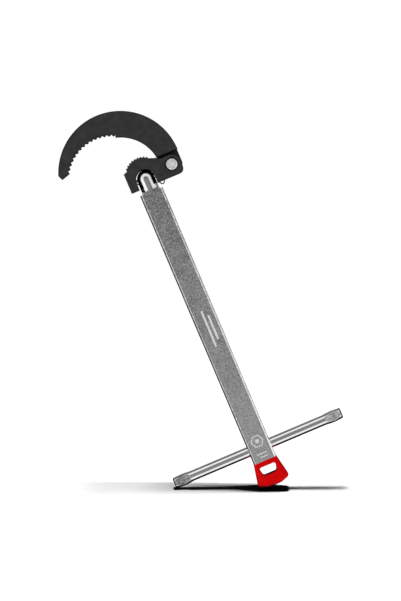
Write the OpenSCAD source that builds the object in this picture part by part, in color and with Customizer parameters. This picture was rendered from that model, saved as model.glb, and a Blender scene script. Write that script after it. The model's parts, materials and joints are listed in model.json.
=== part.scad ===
// Telescoping basin wrench with a pivoting spring-loaded jaw and a sliding T-handle.
// Z runs up the shank, the jaws lie in the XZ plane and the hook opens towards -X.
// The origin is on the shank's axis, level with the lowest point of the end cap.

/* [Tubes] */
// Outside width of the square outer tube
tube_w = 16; // [15.5:0.1:17]
// Wall thickness of the outer tube
tube_wall = 1.8; // [1.6:0.05:1.9]
// Length of the outer tube
tube_len = 191.9; // [191.5:0.1:194]
// Gap all round between the inner and the outer tube
slide_gap = 0.1; // [0.05:0.05:0.3]
// Wall thickness of the inner tube
inner_wall = 1.6; // [1.2:0.1:1.8]
// Length of inner tube that stands out of the outer tube when closed
shoulder_h = 1.4; // [1:0.1:2]

/* [Length lock] */
// Distance between two locking holes
stop_pitch = 25; // [20:1:25]
// Number of locking holes in the outer tube
stop_count = 7; // [4:1:7]
// Radius of the lock button's head
button_r = 2.55; // [2:0.05:3]
// How far the button stands out of the outer tube
button_proud = 1.2; // [0.8:0.1:1.6]

/* [End cap] */
// Height of the cap below the tube
cap_h = 17.4; // [16:0.1:18]
// Widest part of the cap, near its foot
cap_foot_w = 21.6; // [20:0.1:24]
// Front-to-back thickness of the cap at its foot
cap_foot_d = 13.6; // [12:0.1:16]
// Width of the hang hole at its top
hang_w = 11.2; // [9:0.1:11.5]
// Height of the hang hole
hang_h = 5.9; // [5:0.1:6.5]

/* [Handle] */
// Length of the T-handle bar
bar_len = 119.7; // [110:0.1:130]
// Radius of the bar
bar_r = 3.55; // [3.3:0.05:3.6]
// Height of the bar's axis above the foot of the cap
bar_z = 26.45; // [26:0.05:28]
// Where the bar's middle lies, across the shank
bar_shift = -1.2; // [-1.4:0.1:1.4]
// Length of each swaged end
swage_len = 12.2; // [10:0.1:14]

/* [Head] */
// Radius of the round neck
neck_r = 5.95; // [5.5:0.05:6]
// Height of the head's pivot above the tube's mouth
pivot_rise = 9.4; // [8.9:0.1:10]
// Front-to-back thickness of the heel jaw
heel_t = 12; // [11:0.1:12.5]
// Front-to-back thickness of the hook jaw
hook_t = 10; // [10:0.1:12]
// Outer radius of the hook
hook_r = 40.9; // [40.5:0.1:41.5]
// Number of teeth on the hook
hook_teeth = 15; // [10:1:18]
// Number of teeth on the heel jaw
heel_teeth = 9; // [6:1:12]

/* [Hidden] */
$fn = 48;

cut = 0.5;              // how far a cutter runs past the face that it opens
fit = 0.05;             // radial clearance of a pin that turns in its hole
bar_gap = 1.2;          // between the bar and the pieces above and below it
rub_gap = 0.02;         // between the bar and the pad that rubs on it

// Heights above the foot of the cap
tube_top = cap_h + tube_len;
pivot_z = tube_top + pivot_rise;
inner_top = tube_top + shoulder_h;
inner_bottom = bar_z + bar_r + bar_gap;
button_z = inner_bottom + 12.5;

// Square sections
tube_in = tube_w - 2 * tube_wall;
inner_w = tube_in - 2 * slide_gap;
inner_in = inner_w - 2 * inner_wall;
tube_corner = 2.2;
inner_corner = 1.2;

// Lock button: a head through both walls, and a flange held inside the inner tube
flange_r = button_r + 1.05;
flange_h = 2;
button_back = tube_w / 2 + button_proud;
flange_top = inner_in / 2 - 0.1;
strip_t = 0.5;
strip_w = 6;

// Neck stud, swivel pin and detent
tenon_len = 24;
tenon_w = inner_in - 0.1;
stud_pin_z = inner_top - 9;
stud_pin_r = 1.5;
swivel_r = 1.8;
ball_r = 1.5;
ball_z = 4.74;          // above the head's pivot
root_step = 0.3;        // height of the collar and of each flank of the groove at the neck's root
root_r = 5.6;           // radius at the bottom of that groove

// Heel jaw, measured from the head's pivot
arch_r = 6.45;
arch_c = [-0.25, -0.15];
heel_left = -12.4;
heel_foot = -5.2;
heel_arc = [-0.4, 2.3];
heel_tip_r = 12.65;
heel_root_r = 11.7;
heel_from = 57.9;
heel_to = 137.6;
pin_end = 11.3;

// Jaw pivot, measured from the head's pivot
rivet = [19.4, 2.05];
rivet_r = 2.5;
rivet_head_r = 3.75;
rivet_seat_r = 4.6;
rivet_seat_d = 0.5;
washer_t = 0.8;
lobe_r = 6.3;
slot_w = 6.2;
tang_t = 5.8;
tang_r = 7.1;
tang_left = 12.3;
slot_gap = 0.3;

// Hook jaw, measured from the head's pivot
hook_arc = [-14, 10];
hook_foot = 10.3;
hook_back = [-15.4, 6.5];
hook_back_r = 27.6;
bite_arc = [-20.5, 8.1];
bite_tip_r = 28.7;
bite_root_r = 30;
bite_from = 66;
bite_to = 149;
outer_chamfer = 1;
back_chamfer = 0.8;

// Jaw spring: a torsion coil round the rivet, in a pocket in the back of the tang
wire_r = 0.4;
coil_r = 3.7;
pocket_r = 4.7;
pocket_floor = 0.9;
leg_y = 2.1;            // plane of the straight leg and of the loop under the heel
anchor_x = 7.5;
leg_angle = 290.7;      // where the straight leg leaves the coil
hook_leg = 3.6;         // length of the leg that turns with the hook
notch_len = 4.6;
notch_w = 1.2;
groove_len = 11.5;

// ---------------------------------------------------------------- shared shapes

// Point on a circle in the plane
function polar(r, a, c = [0, 0]) = c + r * [cos(a), sin(a)];

// Point in the jaw plane moved to depth y
function in_plane(p, y) = [p.x, y, p.y];

// Cross product of two directions, made one long
function side(a, b) = let (c = cross(a, b)) c / norm(c);

// Direction of a path at point i
function heading(path, i) =
    let (a = path[max(i - 1, 0)], b = path[min(i + 1, len(path) - 1)]) (b - a) / norm(b - a);

// A round wire along a path that never runs parallel to the direction ref
module wire(path, r, ref, sides = 10) {
    rings = [for (i = [0 : len(path) - 1])
        let (t = heading(path, i), u = side(t, ref), v = side(t, u))
        for (k = [0 : sides - 1]) path[i] + r * (cos(360 * k / sides) * u + sin(360 * k / sides) * v)];
    last = len(path) - 1;
    walls = [for (i = [0 : last - 1]) for (k = [0 : sides - 1])
        let (n = (k + 1) % sides)
        [i * sides + k, i * sides + n, (i + 1) * sides + n, (i + 1) * sides + k]];
    ends = [[for (k = [sides - 1 : -1 : 0]) k], [for (k = [0 : sides - 1]) last * sides + k]];
    polyhedron(rings, concat(walls, ends));
}

// Square with rounded corners
module rounded_square(w, r) {
    square([w, w - 2 * r], center = true);
    square([w - 2 * r, w], center = true);
    for (x = [-1, 1], y = [-1, 1]) translate([x, y] * (w / 2 - r)) circle(r);
}

// Plate of thickness t in the jaw plane, from a drawing whose axes are X and Z
module plate(t) {
    rotate([90, 0, 0]) linear_extrude(t, center = true) children();
}

// Rod along X from x1 to x2
module rod_x(x1, x2, r) {
    translate([x1, 0, 0]) rotate([0, 90, 0]) cylinder(h = x2 - x1, r = r);
}

// Rod along Y from y1 to y2
module rod_y(y1, y2, r) {
    translate([0, y1, 0]) rotate([-90, 0, 0]) cylinder(h = y2 - y1, r = r);
}

// Turned shape about the Y axis, from a drawing of radius against Y
module turned_y() {
    rotate([-90, 0, 0]) rotate_extrude() children();
}

// Moves a head piece from the head's own frame to its place on the shank
module on_head() {
    translate([0, 0, pivot_z]) children();
}

// Moves a piece to the jaw's rivet, in the head's frame
module on_rivet() {
    translate([rivet.x, 0, rivet.y]) children();
}

// Corner points of n teeth on an arc, from angle a to angle b
function teeth(c, tip, root, a, b, n) =
    let (pitch = (b - a) / (n - 1))
    concat([polar(root, a - pitch / 2, c)],
           [for (i = [0 : n - 1]) each [polar(tip, a + i * pitch, c), polar(root, a + (i + 0.5) * pitch, c)]]);

// ---------------------------------------------------------------- shank

module outer_tube() color("#8f9092") difference() {
    translate([0, 0, cap_h]) difference() {
        linear_extrude(tube_len) rounded_square(tube_w, tube_corner);
        translate([0, 0, -cut]) linear_extrude(tube_len + 2 * cut) rounded_square(tube_in, inner_corner - 0.3);
    }
    translate([0, 0, bar_z]) rod_x(-tube_w, tube_w, bar_r + 0.08);
    for (i = [0 : stop_count - 1])
        translate([0, 0, button_z + i * stop_pitch]) rod_y(0, tube_w, button_r + 0.15);
}

module end_cap() color("#c8141a") {
    corner = 2.6;
    corner_rise = 1.3;
    foot_x = cap_foot_w / 2 - corner;
    foot_y = cap_foot_d / 2 - corner;
    difference() {
        hull() {
            translate([0, 0, cap_h - 1.5]) linear_extrude(1.5) rounded_square(tube_w + 0.2, tube_corner);
            for (x = [-1, 1], y = [-1, 1]) {
                translate([x * foot_x, y * foot_y, corner + corner_rise]) sphere(corner, $fn = 32);
                translate([x * foot_x / 2, y * foot_y, corner]) sphere(corner, $fn = 32);
            }
        }
        translate([0, 0, cap_h - 3.3 - hang_h / 2]) hull()
            for (x = [-1, 1], z = [-1, 1])
                translate([x * (hang_w / 2 - 1.8 + 0.35 * z), 0, z * (hang_h / 2 - 1.5)])
                    rotate([90, 0, 0]) cylinder(h = tube_w + 2 * cut, r = 1.5, center = true, $fn = 32);
    }
    plug_h = bar_z - bar_r - bar_gap - cap_h;
    translate([0, 0, cap_h - 1]) linear_extrude(plug_h + 1) rounded_square(tube_in - 0.1, inner_corner);
    // Pad that rubs on the bar and holds it where it is put
    translate([0, 0, cap_h]) linear_extrude(plug_h + bar_gap - rub_gap) rounded_square(6, 1);
}

module handle_bar() color("#d6d8da") translate([bar_shift, 0, bar_z]) {
    straight = bar_len / 2 - swage_len;
    rod_x(-straight, straight, bar_r);
    for (s = [0, 1]) mirror([s, 0, 0]) translate([straight, 0, 0]) swaged_end();
}

// The end squeezed by a round die from front and back, so that it bulges up and down
module swaged_end() {
    bulge = 0.45;
    rim = 0.5;
    steps = 10;
    die_r = 22;
    waist = 2.75;
    barrel = [for (i = [0 : steps]) [bar_r + bulge * sin(180 * i / steps), i * (swage_len - rim) / steps]];
    difference() {
        rotate([0, 90, 0]) rotate_extrude()
            polygon(concat([[0, 0]], barrel, [[bar_r - rim, swage_len], [0, swage_len]]));
        for (y = [-1, 1])
            translate([swage_len / 2, y * (die_r + waist), 0])
                cylinder(h = 4 * bar_r, r = die_r, center = true);
    }
}

module inner_tube() color("#97989a") difference() {
    translate([0, 0, inner_bottom]) difference() {
        linear_extrude(inner_top - inner_bottom) rounded_square(inner_w, inner_corner);
        translate([0, 0, -cut])
            linear_extrude(inner_top - inner_bottom + 2 * cut) rounded_square(inner_in, 0.6);
    }
    translate([0, 0, button_z]) rod_y(0, tube_w, button_r + fit);
    translate([0, 0, stud_pin_z]) rod_x(-tube_w, tube_w, stud_pin_r);
}

module neck_stud() color("#dcdee0") difference() {
    union() {
        translate([0, 0, inner_top]) rotate_extrude()
            polygon([[0, 0], [inner_w / 2, 0], [inner_w / 2, root_step], [root_r, 2 * root_step],
                     [neck_r, 3 * root_step], [neck_r, pivot_z - inner_top], [0, pivot_z - inner_top]]);
        on_head() rotate_extrude() intersection() {
            circle(neck_r);
            square(neck_r + cut);
        }
        translate([0, 0, inner_top - tenon_len]) linear_extrude(tenon_len) rounded_square(tenon_w, 0.6);
    }
    on_head() rod_x(-tube_w, tube_w, swivel_r + fit);
    on_head() cylinder(h = neck_r + cut, r = ball_r + fit);
    translate([0, 0, stud_pin_z]) rod_x(-tube_w, tube_w, stud_pin_r);
}

// Slotted spring pin through the inner tube and the stud's tenon
module stud_pin() color("#7b7d80") translate([0, 0, stud_pin_z]) difference() {
    rod_x(-inner_w / 2 + 0.2, inner_w / 2 - 0.2, stud_pin_r);
    rod_x(-inner_w, inner_w, stud_pin_r - 0.5);
    translate([0, 0, -stud_pin_r]) cube([2 * inner_w, 0.6, 2 * stud_pin_r], center = true);
}

// ---------------------------------------------------------------- length lock

module lock_button() color("#c9ccd0") translate([0, 0, button_z]) turned_y() {
    dome = 0.8;
    polygon(concat([[0, flange_top - flange_h], [flange_r, flange_top - flange_h], [flange_r, flange_top],
                    [button_r, flange_top]],
                   [for (a = [0 : 15 : 90]) [button_r * cos(a), button_back - dome + dome * sin(a)]]));
}

// Bent strip spring: one arm lies on the front wall, the other carries the button
module lock_spring() color("#6f7378") {
    bend_r = 2;
    bend_z = button_z - 9.2;
    front = -inner_in / 2 + 0.1;
    back = flange_top - flange_h;
    bend_y = front + bend_r;
    rotate([90, 0, 90]) linear_extrude(strip_w, center = true) {
        translate([front, bend_z]) square([strip_t, 11.5]);
        translate([bend_y, bend_z]) difference() {
            circle(bend_r);
            circle(bend_r - strip_t);
            translate([-bend_r, 0]) square(2 * bend_r);
        }
        polygon([[bend_y + bend_r - strip_t, bend_z], [bend_y + bend_r, bend_z],
                 [back, button_z - 3], [back, button_z + 3],
                 [back - strip_t, button_z + 3], [back - strip_t, button_z - 3]]);
    }
}

// ---------------------------------------------------------------- head pivot

module swivel_pin() color("#b9bcc0") on_head() rod_x(heel_left + 0.3, pin_end, swivel_r);

module detent_ball() color("#c9ccd0") on_head() translate([0, 0, ball_z]) sphere(ball_r);

module detent_spring() color("#8b8f94") on_head() {
    r = 0.16;
    turns = 3;
    low = swivel_r + r;
    high = ball_z - ball_r - r + 0.25;
    wire([for (i = [0 : 12 * turns])
            [1.05 * cos(30 * i), 1.05 * sin(30 * i), low + (high - low) * i / (12 * turns)]],
         r, [0, 0, 1], 8);
}

// ---------------------------------------------------------------- jaws

module heel_outline() {
    corner_r = 3.4;
    corner = [rivet.x + lobe_r - corner_r, heel_foot + corner_r];
    difference() {
        union() {
            polygon(concat([[heel_left, heel_foot], [corner.x, heel_foot], [rivet.x + lobe_r, corner.y],
                            [rivet.x + lobe_r, rivet.y], [rivet.x, rivet.y + lobe_r],
                            [15, 8.1], [13.3, 8.4], [11.6, 10], [10, 10.4], [8, 11.2]],
                           teeth(heel_arc, heel_tip_r, heel_root_r, heel_from, heel_to, heel_teeth),
                           [[-9.9, 8.8], [heel_left, 8.1]]));
            translate(rivet) circle(lobe_r);
            translate(corner) circle(corner_r);
        }
        translate(arch_c) circle(arch_r);
        translate(arch_c - [arch_r, 3 * arch_r]) square([2 * arch_r, 3 * arch_r]);
    }
}

// Space in which the hook's tang swings, open above and to the right of the rivet
module slot_outline() {
    translate(rivet) circle(tang_r + slot_gap);
    translate([tang_left - slot_gap, rivet.y]) square([3 * lobe_r, 4 * lobe_r]);
    translate([rivet.x, heel_foot - cut]) square([3 * lobe_r, 4 * lobe_r]);
}

module heel_jaw() color("#3c3c3d") on_head() difference() {
    plate(heel_t) heel_outline();
    plate(slot_w) slot_outline();
    rod_x(heel_left - cut, pin_end + 0.1, swivel_r);
    on_rivet() rod_y(-heel_t, heel_t, rivet_r);
    on_rivet() rod_y(-heel_t, -heel_t / 2 + rivet_seat_d, rivet_seat_r);
    translate([0, 0, ball_z + 0.25]) sphere(ball_r + 0.2);
    translate([anchor_x, leg_y, heel_foot - cut]) cylinder(h = cut + 2.2, r = wire_r + 0.1);
    on_rivet() translate([0, leg_y, 0]) plate(notch_w) leg_slot(leg_angle, groove_len);
}

module hook_outline() {
    difference() {
        translate(hook_arc) circle(hook_r, $fn = 128);
        translate(hook_back) circle(hook_back_r, $fn = 128);
        polygon(concat([bite_arc],
                       teeth(bite_arc, bite_tip_r, bite_root_r, bite_from, bite_to, hook_teeth)));
        // Everything below the blunt nose and below the foot
        polygon([[-60, 18.4], [-51.2, 21.1], [-45.1, 22.9], [-30, hook_foot], [40, hook_foot],
                 [40, -40], [-60, -40]]);
        polygon([[-60, 30], [-52.5, 24], [-51.2, 21], [-60, 10]]);
    }
}

module tang_outline() {
    translate(rivet) circle(tang_r);
    translate([tang_left, rivet.y]) square([rivet.x + tang_r - tang_left, hook_foot + 1 - rivet.y]);
}

module hook_jaw() color("#343435") on_head() difference() {
    union() {
        intersection() {
            plate(hook_t) hook_outline();
            translate([hook_arc.x, 0, hook_arc.y]) turned_y()
                polygon([[0, -hook_t / 2], [hook_r - outer_chamfer, -hook_t / 2],
                         [hook_r + 0.1, -hook_t / 2 + outer_chamfer + 0.1],
                         [hook_r + 0.1, hook_t / 2 - outer_chamfer - 0.1],
                         [hook_r - outer_chamfer, hook_t / 2], [0, hook_t / 2]]);
        }
        plate(tang_t) tang_outline();
    }
    for (y = [0, 1]) mirror([0, y, 0]) translate([hook_back.x, -hook_t / 2, hook_back.y])
        rotate([-90, 0, 0]) cylinder(h = back_chamfer, r1 = hook_back_r + back_chamfer, r2 = hook_back_r);
    on_rivet() rod_y(-tang_t, tang_t, rivet_r + fit);
    on_rivet() spring_pocket();
}

// Slot along one of the spring's two straight legs, which leave the coil on opposite sides
module leg_slot(a, l) {
    translate(polar(coil_r, a)) rotate(leg_angle - 90) translate([0, -notch_w / 2]) square([l, notch_w]);
}

// Pocket for the coil, a window in which the heel's leg stays clear, and a notch for the hook's leg
module spring_pocket() {
    depth = tang_t / 2 - pocket_floor + cut;
    translate([0, pocket_floor + depth / 2, 0]) plate(depth) {
        circle(pocket_r);
        polygon(concat([[0, 0]], [for (a = [212 : 40 : 372]) polar(tang_r + 2, a)]));
        leg_slot(leg_angle + 180, notch_len);
    }
}

module jaw_rivet() color("#d8d8da") on_head() on_rivet() turned_y() {
    front = -heel_t / 2 + rivet_seat_d;
    back = heel_t / 2 + washer_t;
    polygon([[0, front - 1.1], [0.7, front - 1.15], [1, front - 1.4], [rivet_head_r - 0.7, front - 1.4],
             [rivet_head_r, front - 0.8], [rivet_head_r, front], [rivet_r, front], [rivet_r, back],
             [rivet_head_r - 0.2, back], [rivet_head_r - 0.5, back + 0.7], [rivet_r - 0.4, back + 1.2],
             [0, back + 1.3]]);
}

module rivet_washer() color("#a9abae") on_head() on_rivet() difference() {
    rod_y(heel_t / 2, heel_t / 2 + washer_t, rivet_head_r + 0.7);
    rod_y(0, heel_t, rivet_r);
}

module jaw_spring() color("#9a9da1") on_head() {
    turns = 1.5;
    steps = 30;
    rise = 0.95;
    start = leg_angle + 360 * turns;
    coil = [for (i = [0 : steps])
        in_plane(polar(coil_r, start - 360 * turns * i / steps, rivet), leg_y + 0.3 - rise * (1 - i / steps))];
    tail = in_plane(polar(coil_r, start, rivet) + polar(hook_leg, start + 90), leg_y + 0.3 - rise);
    wire(concat([tail], coil, [[11.5, leg_y, -4.85], [10.95, leg_y, -5.6], [10.3, leg_y, -6.6],
                               [9.4, leg_y, -7.2], [8.5, leg_y, -6.9], [7.8, leg_y, -6],
                               [anchor_x, leg_y, heel_foot], [anchor_x, leg_y, heel_foot + 1.9]]),
         wire_r, [0, 1, 0]);
}

outer_tube();
end_cap();
handle_bar();
inner_tube();
neck_stud();
stud_pin();
lock_button();
lock_spring();
swivel_pin();
detent_ball();
detent_spring();
heel_jaw();
hook_jaw();
jaw_rivet();
rivet_washer();
jaw_spring();
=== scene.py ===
import json
from math import cos, pi, radians, sin, tan

import bmesh
import bpy
from mathutils import Matrix, Vector


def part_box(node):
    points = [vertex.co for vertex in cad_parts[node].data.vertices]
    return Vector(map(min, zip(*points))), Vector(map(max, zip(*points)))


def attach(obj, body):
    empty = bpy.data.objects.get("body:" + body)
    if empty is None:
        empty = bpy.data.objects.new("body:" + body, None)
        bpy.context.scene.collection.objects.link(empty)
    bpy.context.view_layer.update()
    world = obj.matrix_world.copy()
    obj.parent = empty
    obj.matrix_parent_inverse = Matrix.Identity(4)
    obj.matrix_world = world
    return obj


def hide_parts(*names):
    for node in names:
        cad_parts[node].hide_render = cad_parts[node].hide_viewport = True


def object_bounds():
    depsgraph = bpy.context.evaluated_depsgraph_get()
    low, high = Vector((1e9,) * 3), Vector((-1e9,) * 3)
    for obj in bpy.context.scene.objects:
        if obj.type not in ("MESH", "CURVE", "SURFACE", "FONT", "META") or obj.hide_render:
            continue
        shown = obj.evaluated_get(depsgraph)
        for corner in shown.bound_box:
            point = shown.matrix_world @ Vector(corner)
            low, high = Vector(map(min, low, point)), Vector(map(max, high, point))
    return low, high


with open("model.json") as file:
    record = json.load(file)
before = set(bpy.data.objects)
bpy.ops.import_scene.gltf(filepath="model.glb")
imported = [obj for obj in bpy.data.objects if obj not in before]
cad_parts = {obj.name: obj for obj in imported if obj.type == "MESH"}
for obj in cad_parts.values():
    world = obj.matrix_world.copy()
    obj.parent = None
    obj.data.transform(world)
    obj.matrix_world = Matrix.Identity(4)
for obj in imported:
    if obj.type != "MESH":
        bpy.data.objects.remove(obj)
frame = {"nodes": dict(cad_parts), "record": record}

MM = 0.001
CAD_LOW, CAD_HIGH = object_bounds()


# ------------------------------------------------------------------ materials

class Shader:
    """A node material under construction. Its textures read object coordinates, metres in the CAD frame."""

    def __init__(self, name):
        self.material = bpy.data.materials.new(name)
        self.material.use_nodes = True
        self.tree = self.material.node_tree
        self.surface = self.tree.nodes["Principled BSDF"]
        self.place = self.add("ShaderNodeTexCoord").outputs["Object"]

    def add(self, kind, settings=None, **inputs):
        """A new node with its settings made and its inputs set or linked. In names _ stands for a space."""
        node = self.tree.nodes.new(kind)
        for key, value in (settings or {}).items():
            setattr(node, key, value)
        for key, value in inputs.items():
            self.feed(node.inputs[key.replace("_", " ")], value)
        return node

    def feed(self, socket, value):
        if isinstance(value, bpy.types.NodeSocket):
            self.tree.links.new(value, socket)
        else:
            socket.default_value = value

    def set(self, **inputs):
        """Sets or links inputs of the Principled surface."""
        for key, value in inputs.items():
            self.feed(self.surface.inputs[key.replace("_", " ")], value)

    def shifted(self, origin=(0, 0, 0), scale=(1, 1, 1)):
        """Coordinates from another origin, scaled along each axis."""
        mapping = self.add("ShaderNodeMapping", Vector=self.place)
        mapping.inputs["Scale"].default_value = scale
        mapping.inputs["Location"].default_value = [-o * s for o, s in zip(origin, scale)]
        return mapping.outputs["Vector"]

    def noise(self, grain, detail=3, roughness=0.55, vector=None):
        """Noise from 0 to 1 whose lumps are about grain metres across."""
        return self.add("ShaderNodeTexNoise", Vector=vector or self.place, Scale=1 / grain, Detail=detail,
                        Roughness=roughness).outputs["Fac"]

    def spread(self, value, low, high, to_low, to_high):
        """Maps low..high of a value to another range, clamped."""
        node = self.add("ShaderNodeMapRange", Value=value)
        for key, number in (("From Min", low), ("From Max", high), ("To Min", to_low), ("To Max", to_high)):
            node.inputs[key].default_value = number
        return node.outputs["Result"]

    def ramp(self, value, *stops):
        """A colour for each value, between stops of (position, colour)."""
        node = self.add("ShaderNodeValToRGB", Fac=value)
        fill_ramp(node.color_ramp, stops)
        return node.outputs["Color"]

    def maths(self, operation, a, b=0.0):
        node = self.add("ShaderNodeMath", {"operation": operation})
        self.feed(node.inputs[0], a)
        self.feed(node.inputs[1], b)
        return node.outputs["Value"]

    def blend(self, factor, a, b):
        """Mixes two colours."""
        node = self.add("ShaderNodeMix", {"data_type": "RGBA"}, Factor=factor)
        self.feed(node.inputs["A"], a)
        self.feed(node.inputs["B"], b)
        return node.outputs["Result"]

    def bump(self, *layers):
        """Links a normal made of layers of (height, depth in metres), stacked."""
        normal = None
        for height, depth in layers:
            node = self.add("ShaderNodeBump", Height=height, Distance=depth)
            if normal:
                self.feed(node.inputs["Normal"], normal)
            normal = node.outputs["Normal"]
        self.set(Normal=normal)


def grey(value):
    return (value, value, value, 1)


def fill_ramp(color_ramp, stops):
    elements = color_ramp.elements
    elements[0].position, elements[0].color = stops[0]
    elements[-1].position, elements[-1].color = stops[-1]
    for position, colour in stops[1:-1]:
        elements.new(position).color = colour


def tube_steel():
    """Satin nickel plate over rolled tube: a speckle and faint drawn marks, with painted shade: darker
    towards the top, lighter towards the bottom, and darker along the left-hand edge.
    """
    s = Shader("tube_steel")
    low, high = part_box("outer_tube")
    place = s.add("ShaderNodeSeparateXYZ", Vector=s.place).outputs
    speckle = s.noise(1.3 * MM, detail=4, roughness=0.75)
    cloud = s.noise(9 * MM)
    drawn = s.noise(1, detail=4, vector=s.shifted(scale=(900, 900, 25)))
    tone = s.maths("ADD", s.maths("MULTIPLY", speckle, 0.8), s.maths("MULTIPLY", cloud, 0.2))
    # Painted shade: the tube's face is painted darker towards the top and lighter towards the bottom.
    by_height = s.spread(place["Z"], low.z, high.z, 1, 0)
    # Painted shade: a strip along the left-hand edge is painted darker.
    by_side = s.spread(place["X"], low.x + 1.4 * MM, low.x + 2.1 * MM, 0, 1)
    # Tones: painted shade along the left-hand edge, painted shade towards the top, painted light towards the
    # bottom.
    edge = s.ramp(tone, (0.36, grey(0.2)), (0.5, grey(0.42)), (0.64, grey(0.75)))
    dull = s.ramp(tone, (0.36, grey(0.16)), (0.5, grey(0.52)), (0.64, grey(1.0)))
    painted_lit_lower = s.ramp(tone, (0.36, grey(0.5)), (0.5, grey(0.84)), (0.64, grey(1.0)))
    s.set(Base_Color=s.blend(by_side, edge, s.blend(by_height, dull, painted_lit_lower)),
          Metallic=0.95,
          Roughness=s.spread(speckle, 0.3, 0.7, 0.1, 0.2))
    s.bump((drawn, 0.004 * MM), (speckle, 0.012 * MM))
    return s.material


def chrome():
    """Bright plate with faint smears and hair scratches, grained where the bar's ends were pressed flat, with
    painted shade making a near-black rim at each end and painted light making the right-hand flat lighter.
    """
    s = Shader("chrome")
    low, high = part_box("handle_bar")
    swage_length = 12 * MM
    x = s.add("ShaderNodeSeparateXYZ", Vector=s.shifted(origin=(low + high) / 2)).outputs["X"]
    half = (high.x - low.x) / 2
    from_middle = s.maths("ABSOLUTE", x)
    normal = s.place.node.outputs["Normal"]
    facing = s.maths("ABSOLUTE", s.add("ShaderNodeSeparateXYZ", Vector=normal).outputs["Y"])
    near_end = s.spread(from_middle, half - swage_length, half - swage_length + 1 * MM, 0, 1)
    pressed = s.maths("MULTIPLY", near_end, s.spread(facing, 0.9, 0.95, 0, 1))
    # Painted shade: the last millimetre of each end of the bar is painted near black.
    painted_dark_rim = s.spread(from_middle, half - 1.1 * MM, half - 0.6 * MM, 0, 1)
    smear = s.noise(6 * MM, detail=5)
    hair = s.noise(1, detail=3, vector=s.shifted(scale=(120, 2200, 2200)))
    grain = s.noise(0.45 * MM, detail=3)
    plate = s.ramp(smear, (0.3, grey(0.76)), (0.7, (0.86, 0.865, 0.88, 1)))
    streak = s.noise(1, detail=4, roughness=0.7, vector=s.shifted(scale=(350, 350, 900)))
    # Painted light: the pressed flat at the right-hand end is painted lighter than the one at the left.
    wear_and_painted_light = s.spread(x, 0, half, 0, 0.1)
    ground = s.ramp(s.maths("ADD", streak, wear_and_painted_light), (0.36, grey(0.2)), (0.5, grey(0.5)), (0.64, grey(0.95)))
    s.set(Base_Color=s.blend(painted_dark_rim, s.blend(pressed, plate, ground), grey(0.06)),
          Metallic=1.0,
          Roughness=s.maths("ADD", s.spread(smear, 0.35, 0.7, 0.1, 0.18), s.maths("MULTIPLY", pressed, 0.25)))
    s.bump((hair, 0.0005 * MM), (s.maths("MULTIPLY", grain, pressed), 0.04 * MM))
    return s.material


def black_steel():
    """Black oxide on a forging: a fine tooth, faint paler patches, and painted shade darkening the corners
    and recesses.
    """
    s = Shader("black_steel")
    tooth = s.noise(0.35 * MM, detail=4, roughness=0.7)
    patch = s.noise(5 * MM, detail=4)
    tone = s.maths("ADD", s.maths("MULTIPLY", tooth, 0.4), s.maths("MULTIPLY", patch, 0.6))
    oxide = s.ramp(tone, (0.3, grey(0.06)), (0.52, grey(0.08)), (0.75, grey(0.115)))
    # Painted shade: corners and recesses that little light reaches are painted near black.
    open_sky = s.add("ShaderNodeAmbientOcclusion", {"samples": 8}, Distance=4 * MM).outputs["AO"]
    painted_shade = s.spread(open_sky, 0.55, 0.9, 0, 1)
    s.set(Base_Color=s.blend(painted_shade, grey(0.004), oxide),
          Metallic=0.8,
          Roughness=s.spread(patch, 0.3, 0.7, 0.28, 0.38))
    s.bump((patch, 0.015 * MM), (tooth, 0.012 * MM))
    return s.material


def red_plastic():
    """Moulded plastic with a slight ripple, fine scuffs and the mould's parting line round the middle, with
    painted shade darkening its hollows.
    """
    s = Shader("red_plastic")
    ripple = s.noise(3.5 * MM, detail=2)
    scuff = s.noise(1, detail=5, vector=s.shifted(scale=(350, 350, 1400)))
    y = s.add("ShaderNodeSeparateXYZ", Vector=s.place).outputs["Y"]
    seam = s.spread(s.maths("ABSOLUTE", y), 0.08 * MM, 0.16 * MM, 1, 0)
    # Painted shade: hollows such as the inside of the hang hole are painted dark.
    open_sky = s.add("ShaderNodeAmbientOcclusion", {"samples": 8}, Distance=8 * MM).outputs["AO"]
    red = s.ramp(ripple, (0.3, (0.7, 0.0005, 0.001, 1)), (0.7, (0.84, 0.0005, 0.0015, 1)))
    s.set(Base_Color=s.blend(s.spread(open_sky, 0.5, 0.9, 0, 1), (0.05, 0.0005, 0.004, 1), red),
          Roughness=s.spread(scuff, 0.45, 0.75, 0.22, 0.36),
          Specular_IOR_Level=0.05,
          Subsurface_Weight=0.03,
          Subsurface_Scale=0.6 * MM)
    s.surface.inputs["Subsurface Radius"].default_value = (1.0, 0.2, 0.1)
    s.bump((ripple, 0.02 * MM), (scuff, 0.002 * MM), (seam, 0.06 * MM))
    return s.material


def rivet_steel():
    """Bright zinc plate with turning rings round the rivet's axis."""
    s = Shader("rivet_steel")
    low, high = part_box("jaw_rivet")
    centre = (low + high) / 2
    rings = s.add("ShaderNodeTexWave", {"wave_type": "RINGS", "rings_direction": "Y"},
                  Vector=s.shifted(origin=centre), Scale=900, Distortion=0.6, Detail=1).outputs["Fac"]
    speck = s.noise(1.1 * MM, detail=4, roughness=0.65)
    tone = s.maths("ADD", s.maths("MULTIPLY", rings, 0.2), s.maths("MULTIPLY", speck, 0.8))
    s.set(Base_Color=s.ramp(tone, (0.38, grey(0.66)), (0.56, grey(1.0))),
          Metallic=0.75,
          Roughness=s.spread(speck, 0.3, 0.7, 0.5, 0.6))
    s.bump((rings, 0.006 * MM))
    return s.material


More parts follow.
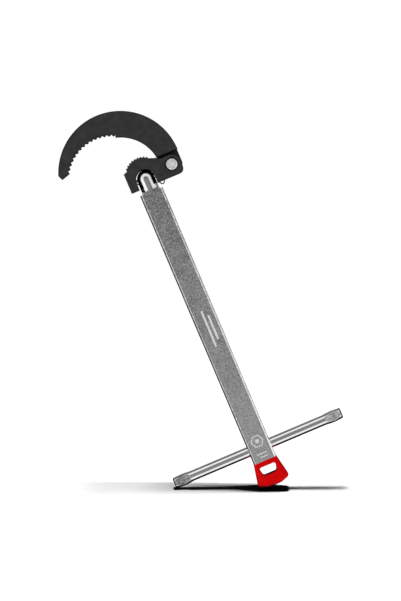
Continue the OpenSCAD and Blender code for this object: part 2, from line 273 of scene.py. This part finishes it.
def ground_steel(name, tone, gloss):
    """Ground or drawn steel: fine streaks along x and a few dull spots."""
    s = Shader(name)
    streak = s.noise(1, detail=4, vector=s.shifted(scale=(300, 2600, 2600)))
    spot = s.noise(0.8 * MM, detail=4)
    s.set(Base_Color=s.ramp(spot, (0.3, grey(tone * 0.75)), (0.7, grey(tone))),
          Metallic=1.0,
          Roughness=s.spread(streak, 0.35, 0.65, gloss, gloss + 0.12))
    s.bump((streak, 0.003 * MM))
    return s.material


def print_ink():
    """Pale screen print, a little worn."""
    s = Shader("print_ink")
    wear_and_painted_light = s.noise(0.25 * MM, detail=5, roughness=0.8)
    s.set(Base_Color=s.ramp(wear_and_painted_light, (0.35, grey(0.7)), (0.5, grey(1.0))),
          Metallic=0.9,
          Roughness=s.spread(wear_and_painted_light, 0.3, 0.7, 0.6, 0.75))
    s.bump((wear_and_painted_light, 0.004 * MM))
    return s.material


# ------------------------------------------------------------------ pieces

def mesh_object(name, bm):
    mesh = bpy.data.meshes.new(name)
    bm.to_mesh(mesh)
    bm.free()
    piece = bpy.data.objects.new(name, mesh)
    bpy.context.scene.collection.objects.link(piece)
    return piece


def settle(piece, body, material):
    """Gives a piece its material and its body."""
    piece.data.materials.clear()
    piece.data.materials.append(material)
    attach(piece, body)


def smooth(piece, angle):
    """Smooth shading across every edge under the angle, with large faces kept flat."""
    piece.data.shade_smooth()
    piece.data.set_sharp_from_angle(angle=radians(angle))
    weighted = piece.modifiers.new("flat_faces", "WEIGHTED_NORMAL")
    weighted.keep_sharp = True
    weighted.weight = 80


def refined(node, body, material, edge, segments=2, hard=28):
    """A CAD node's own shape, welded, with each edge harder than an angle rounded to a small radius."""
    source = frame["nodes"][node].data
    mesh = bpy.data.meshes.new(node + "_plain")
    mesh.from_pydata([v.co for v in source.vertices], [], [p.vertices[:] for p in source.polygons])
    bm = bmesh.new()
    bm.from_mesh(mesh)
    bmesh.ops.remove_doubles(bm, verts=bm.verts, dist=0.002 * MM)
    bmesh.ops.dissolve_limit(bm, angle_limit=radians(0.4), verts=bm.verts, edges=bm.edges)
    sharp = [e for e in bm.edges if e.is_manifold and e.calc_face_angle() > radians(hard)]
    bmesh.ops.bevel(bm, geom=sharp, offset=edge, offset_type="OFFSET", segments=segments, profile=0.5,
                    affect="EDGES", clamp_overlap=True)
    piece = mesh_object(node + "_finished", bm)
    smooth(piece, 50)
    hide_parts(node)
    settle(piece, body, material)
    return piece


def body_of(node):
    return next(b for b, members in frame["record"]["behaviour"]["bodies"].items() if node in members)


def slot_of(node):
    return next(p["material_slot"] for p in frame["record"]["subparts"] if p["node"] == node)


# ------------------------------------------------------------------ the wrench

MATERIALS = {
    "tube_steel": tube_steel(),
    "chrome": chrome(),
    "black_steel": black_steel(),
    "red_plastic": red_plastic(),
    "rivet_steel": rivet_steel(),
    "button_steel": ground_steel("button_steel", 0.72, 0.14),
    "spring_steel": ground_steel("spring_steel", 0.16, 0.24),
}

# Edge radius of each piece that shows
EDGES = {
    "outer_tube": 0.15 * MM,
    "inner_tube": 0.12 * MM,
    "end_cap": 0.45 * MM,
    "handle_bar": 0.12 * MM,
    "neck_stud": 0.1 * MM,
    "lock_button": 0.1 * MM,
    "heel_jaw": 0.2 * MM,
    "hook_jaw": 0.2 * MM,
    "jaw_rivet": 0.08 * MM,
    "rivet_washer": 0.08 * MM,
}

for node, shown in frame["nodes"].items():
    slot = slot_of(node)
    if node in EDGES:
        refined(node, body_of(node), MATERIALS[slot], EDGES[node])
    else:
        shown.data.materials.clear()
        shown.data.materials.append(MATERIALS[slot])


# Plain printed marks on the tube's front: two bars, a nut outline with a dot, and two fine lines
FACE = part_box("outer_tube")[0].y
INK = 0.03 * MM


def rim(bm, outline):
    """The edge of a thin shape on the tube's front, from corners in x and z. Returns both rows of corners."""
    front = [bm.verts.new((x, FACE - INK, z)) for x, z in outline]
    back = [bm.verts.new((x, FACE, z)) for x, z in outline]
    for i in range(len(outline)):
        bm.faces.new((front[i - 1], back[i - 1], back[i], front[i]))
    return front, back


def plate(bm, outline):
    """A thin flat shape, filled."""
    for corners in rim(bm, outline):
        bm.faces.new(corners)


def ring(bm, outer, inner):
    """A thin flat shape between two outlines with as many corners."""
    for outside, inside in zip(rim(bm, outer), rim(bm, inner)):
        for i in range(len(outside)):
            bm.faces.new((outside[i - 1], inside[i - 1], inside[i], outside[i]))


def polygon(radius, sides, z):
    """Corners in x and z of a regular shape about the middle of the tube's face."""
    angles = [2 * pi * k / sides for k in range(sides)]
    return [(radius * cos(a), z + radius * sin(a)) for a in angles]


def bar(bm, x, z, width, height):
    corners = ((-1, -1), (1, -1), (1, 1), (-1, 1))
    plate(bm, [(x + sx * width / 2, z + sz * height / 2) for sx, sz in corners])


def front_marks():
    bm = bmesh.new()
    low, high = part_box("outer_tube")
    length = high.z - low.z
    mark_z = low.z + 0.49 * length
    bar(bm, -0.4 * MM, mark_z, 1.3 * MM, 25 * MM)
    bar(bm, 2.7 * MM, mark_z, 1.3 * MM, 17 * MM)

    nut_z = low.z + 13.8 * MM
    ring(bm, polygon(4.4 * MM, 6, nut_z), polygon(3.7 * MM, 6, nut_z))
    plate(bm, polygon(1.3 * MM, 20, nut_z))

    bar(bm, 0, low.z + 5.2 * MM, 7 * MM, 0.6 * MM)
    bar(bm, 0.6 * MM, low.z + 2.9 * MM, 5 * MM, 0.6 * MM)
    bmesh.ops.recalc_face_normals(bm, faces=bm.faces)
    settle(mesh_object("front_marks", bm), "tube", print_ink())


front_marks()


# ------------------------------------------------------------------ stage

LEAN = radians(22.95)                       # how far the shank leans from upright
UP = Vector((sin(LEAN), 0, cos(LEAN)))      # straight up from the floor, in the CAD frame
RIGHT = Vector((cos(LEAN), 0, -sin(LEAN)))
BACK = Vector((0, -1, 0))                   # from the object to the camera
FLOOR_DROP = 3.0 * MM                       # how far the floor under the shank's axis lies below the origin
FLOOR_TILT = radians(14)                    # how steeply it falls away to the front, to show as a narrow band
FLOOR_LEVEL = 11 * MM                       # how far behind the shank it becomes level
FLOOR_REACH = 6                             # how far it goes to each side, in metres


def turned(x, y, z):
    """Rotation whose axes are the given world directions."""
    return Matrix((x, y, z)).transposed().to_4x4()


def make_camera():
    """A camera level with the floor that takes in a given height at the target's distance."""
    target = Vector((1.86 * MM, 0, 130.8 * MM))
    distance = 1.6
    view_height = 396.66 * MM
    data = bpy.data.cameras.new("camera")
    data.sensor_width = 36
    data.lens = data.sensor_width * distance / view_height
    camera = bpy.data.objects.new("camera", data)
    camera.matrix_world = Matrix.Translation(target + BACK * distance) @ turned(RIGHT, UP, BACK)
    bpy.context.scene.collection.objects.link(camera)
    bpy.context.scene.camera = camera


def make_floor():
    """Dark paper that a strong lamp of its own turns white, so that the shadow under the tool stays deep."""
    reach = FLOOR_REACH
    fall = tan(FLOOR_TILT)
    bm = bmesh.new()
    rows = [[bm.verts.new((x, y, height - FLOOR_DROP)) for x in (-reach, reach)] for y, height in
            ((-reach, -reach * fall), (FLOOR_LEVEL, FLOOR_LEVEL * fall), (reach, FLOOR_LEVEL * fall))]
    for near, far in zip(rows, rows[1:]):
        bm.faces.new((near[0], near[1], far[1], far[0]))
    floor = mesh_object("floor", bm)
    floor.matrix_world = turned(RIGHT, -BACK, UP)
    s = Shader("floor_paper")
    s.set(Base_Color=grey(0.02), Roughness=0.9, Specular_IOR_Level=0.0)
    floor.data.materials.append(s.material)
    floor.visible_glossy = False
    return floor


def make_light(name, kind, direction, energy, **settings):
    """A light that shines from a direction, towards the middle of the wrench."""
    data = bpy.data.lights.new(name, kind)
    data.energy = energy
    for key, value in settings.items():
        setattr(data, key, value)
    light = bpy.data.objects.new(name, data)
    light.location = (CAD_LOW + CAD_HIGH) / 2 + direction
    light.rotation_mode = "QUATERNION"
    light.rotation_quaternion = direction.to_track_quat("Z", "Y")
    bpy.context.scene.collection.objects.link(light)
    return light


def lights_only(light, obj, state):
    """Limits a light to one object (INCLUDE) or to everything else (EXCLUDE)."""
    group = bpy.data.collections.new(light.name + "_receivers")
    group.objects.link(obj)
    group.collection_objects[0].light_linking.link_state = state
    light.light_linking.receiver_collection = group


# Brightness of the studio in reflections, by angle in degrees from straight behind the camera
FRONT_PANELS = ((0, 0.32), (9, 0.3), (17, 0.18), (27, 0.18), (38, 1.0), (71, 1.0), (82, 0.015), (180, 0.0))
REAR_PANELS = ((0, 0.0), (122, 0.0), (134, 0.75), (150, 0.75), (162, 0.0), (180, 0.0))
DIFFUSE_FILL = 0.15                         # brightness of the studio as a light for matt surfaces


def make_world():
    """A studio for reflections: a grey card behind the camera, white panels to all sides, dark between."""
    world = bpy.data.worlds.new("studio")
    world.use_nodes = True
    world.cycles.sampling_method = "NONE"
    bpy.context.scene.world = world
    tree = world.node_tree
    tree.nodes.clear()

    def add(kind, *values, **settings):
        node = tree.nodes.new(kind)
        for key, value in settings.items():
            setattr(node, key, value)
        for socket, value in zip(node.inputs, values):
            if isinstance(value, bpy.types.NodeSocket):
                tree.links.new(value, socket)
            elif value is not None:
                socket.default_value = value
        return node

    direction = add("ShaderNodeTexCoord").outputs["Generated"]

    def along(axis):
        return add("ShaderNodeVectorMath", direction, axis, operation="DOT_PRODUCT").outputs["Value"]

    def fade(value, low, high, to_low, to_high):
        return add("ShaderNodeMapRange", value, low, high, to_low, to_high).outputs["Result"]

    def times(a, b):
        return add("ShaderNodeMath", a, b, operation="MULTIPLY").outputs["Value"]

    def lit(angle, panels):
        ramp = add("ShaderNodeValToRGB", times(angle, 1 / pi))
        fill_ramp(ramp.color_ramp, [(degrees / 180, grey(level)) for degrees, level in panels])
        return ramp.outputs["Color"]

    def plus(a, b):
        return add("ShaderNodeMath", a, b, operation="ADD").outputs["Value"]

    angle = add("ShaderNodeMath", along(BACK), operation="ARCCOSINE").outputs["Value"]
    height = fade(along(UP), -0.1, 0.1, 1.12, 0.88)
    across = fade(along(RIGHT), -0.5, 0.5, 1.05, 0.95)
    front = times(lit(angle, FRONT_PANELS), times(height, across))
    overhead_part = fade(along(UP), 0.0, 0.15, 0.0, 1.0)
    right_part = fade(along(RIGHT), 0.5, 0.65, 0.0, 0.5)
    either = add("ShaderNodeMath", overhead_part, right_part, operation="MAXIMUM").outputs["Value"]
    rear = times(lit(angle, REAR_PANELS), either)
    right_card = fade(along(RIGHT), 0.8, 0.95, 0, 0.95)
    ceiling = fade(along(UP), 0.5, 1.0, 0, 0.16)
    level = plus(plus(front, rear), plus(right_card, ceiling))

    rays = add("ShaderNodeLightPath").outputs
    fill = add("ShaderNodeMix", rays["Is Diffuse Ray"], None, level, DIFFUSE_FILL).outputs["Result"]
    seen = add("ShaderNodeMix", rays["Is Camera Ray"], None, fill, 1.0).outputs["Result"]
    background = add("ShaderNodeBackground", seen).outputs["Background"]
    add("ShaderNodeOutputWorld", background)


make_camera()
make_world()
floor = make_floor()
overhead = make_light("overhead", "SUN", UP + BACK * 0.03 - RIGHT * 0.06, energy=190, angle=radians(11))
lights_only(overhead, floor, "INCLUDE")
front_key = make_light("front_key", "AREA", BACK * 1.6 + UP * 0.9 - RIGHT * 0.4, energy=9, size=0.7)
front_key.visible_glossy = False
lights_only(front_key, floor, "EXCLUDE")
bpy.context.scene.view_settings.view_transform = "Standard"
